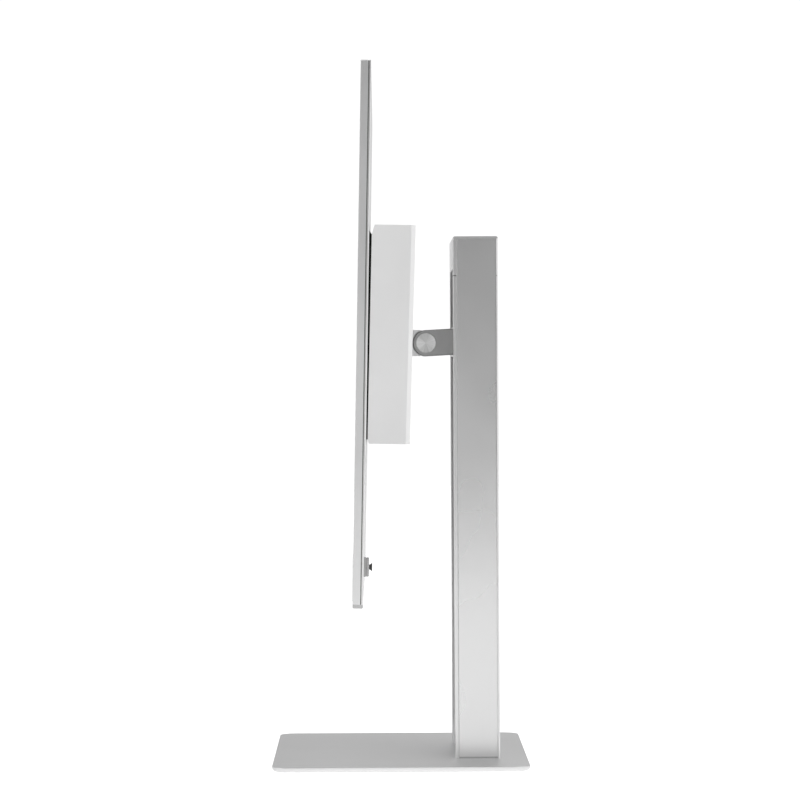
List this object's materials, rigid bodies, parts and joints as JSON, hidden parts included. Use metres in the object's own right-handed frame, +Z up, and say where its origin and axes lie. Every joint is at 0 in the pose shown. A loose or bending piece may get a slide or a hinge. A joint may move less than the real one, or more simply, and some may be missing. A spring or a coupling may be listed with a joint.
{
  "type": "computer monitor",
  "caption": "Flat desktop monitor: slim tilting screen with a box housing on its back, an arm riding in a slotted height-adjustable column, and a flat base plate.",
  "frame": {"origin": "centre of the base footprint, on the surface the monitor stands on", "axes": "+Z up; X runs across the screen, +X towards the side with the joystick; -Y is the way the screen faces"},
  "size_m": [0.606, 0.192, 0.5108],
  "materials": {
    "silver_aluminium": "fine bead-blasted, clear anodised, satin",
    "silver_steel": "satin silver powder coat",
    "dark_metal": "satin dark grey anodised",
    "spun_metal": "face-turned, radial sheen",
    "screen_glass": "anti-glare matte black",
    "black_foam": "matte foam",
    "black_rubber": "matte",
    "black_plastic": "fine texture",
    "grey_plastic": "fine texture",
    "bearing_plastic": "smooth acetal",
    "plated_steel": "zinc plated",
    "polished_steel": "ground and polished",
    "black_screw": "black oxide",
    "circuit_board": "solder mask",
    "clear_acrylic": "clear sheet",
    "white_film": "diffusing film",
    "amber_film": "polyimide film",
    "connector_metal": "nickel plated shell",
    "light_pipe": "clear light pipe"
  },
  "bodies": {
    "stand": {"base_plate": "silver_steel", "base_feet": "black_rubber", "base_screws": "plated_steel", "column_frame": "silver_aluminium", "column_cap": "silver_aluminium", "column_side_left": "silver_aluminium", "column_side_right": "silver_aluminium", "column_foot": "plated_steel", "upper_bracket": "plated_steel", "bracket_screws": "plated_steel", "guide_rods": "polished_steel", "gas_spring_cylinder": "black_screw", "stop_collars": "black_rubber"},
    "carriage": {"carriage_block": "dark_metal", "slide_bushes": "bearing_plastic", "carriage_face": "silver_aluminium", "gas_spring_rod": "polished_steel", "gas_spring_piston": "black_plastic", "tilt_arm": "dark_metal", "arm_screws": "black_screw", "pivot_shaft": "polished_steel", "pivot_caps": "spun_metal", "friction_washers": "plated_steel"},
    "head": {"panel_frame": "silver_aluminium", "bottom_trim": "grey_plastic", "chin_strip": "silver_aluminium", "power_light": "light_pipe", "lcd_cell": "screen_glass", "optical_sheets": "white_film", "light_guide": "clear_acrylic", "led_bar": "circuit_board", "reflector_sheet": "white_film", "rear_tray": "plated_steel", "rear_cover": "silver_aluminium", "source_board": "circuit_board", "driver_films": "amber_film", "display_cable": "white_film", "gasket": "black_foam", "housing_wrap": "silver_aluminium", "housing_top": "black_plastic", "housing_bottom": "black_plastic", "power_inlet": "black_plastic", "video_ports": "connector_metal", "data_ports": "connector_metal", "chassis_plate": "plated_steel", "chassis_screws": "plated_steel", "hinge_bracket": "plated_steel", "knuckle_block": "silver_aluminium", "knuckle_screws": "black_screw", "standoffs": "plated_steel", "main_board": "circuit_board", "heat_sink": "dark_metal", "power_board": "circuit_board", "timing_board": "circuit_board", "joystick_boss": "grey_plastic", "joystick_switch": "black_plastic"},
    "joystick_plunger": {"joystick_plunger": "black_plastic"},
    "joystick_gimbal": {"joystick_gimbal": "black_plastic"},
    "joystick_cap": {"joystick_cap": "black_plastic"}
  },
  "joints": [
    {"name": "height_slide", "type": "slide", "parent": "stand", "child": "carriage", "axis": [0, 0, 1], "range_m": [-0.1, 0.035]},
    {"name": "head_tilt", "type": "hinge", "parent": "carriage", "child": "head", "pos_m": [0, 0.0212, 0.3192], "axis": [-1, 0, 0], "range_deg": [-1.17, 14.3]},
    {"name": "joystick_press", "type": "slide", "parent": "head", "child": "joystick_plunger", "axis": [0, -0.9998, 0.0204], "range_m": [0, 0.0004], "stiffness_N_per_m": 4000},
    {"name": "joystick_up_down", "type": "hinge", "parent": "joystick_plunger", "child": "joystick_gimbal", "pos_m": [0.243, -0.02895, 0.16069], "axis": [1, 0, 0], "range_deg": [-8, 8], "stiffness_Nm_per_rad": 0.05},
    {"name": "joystick_left_right", "type": "hinge", "parent": "joystick_gimbal", "child": "joystick_cap", "pos_m": [0.243, -0.02895, 0.16069], "axis": [0, 0.0204, 0.9998], "range_deg": [-8, 8], "stiffness_Nm_per_rad": 0.05}
  ]
}
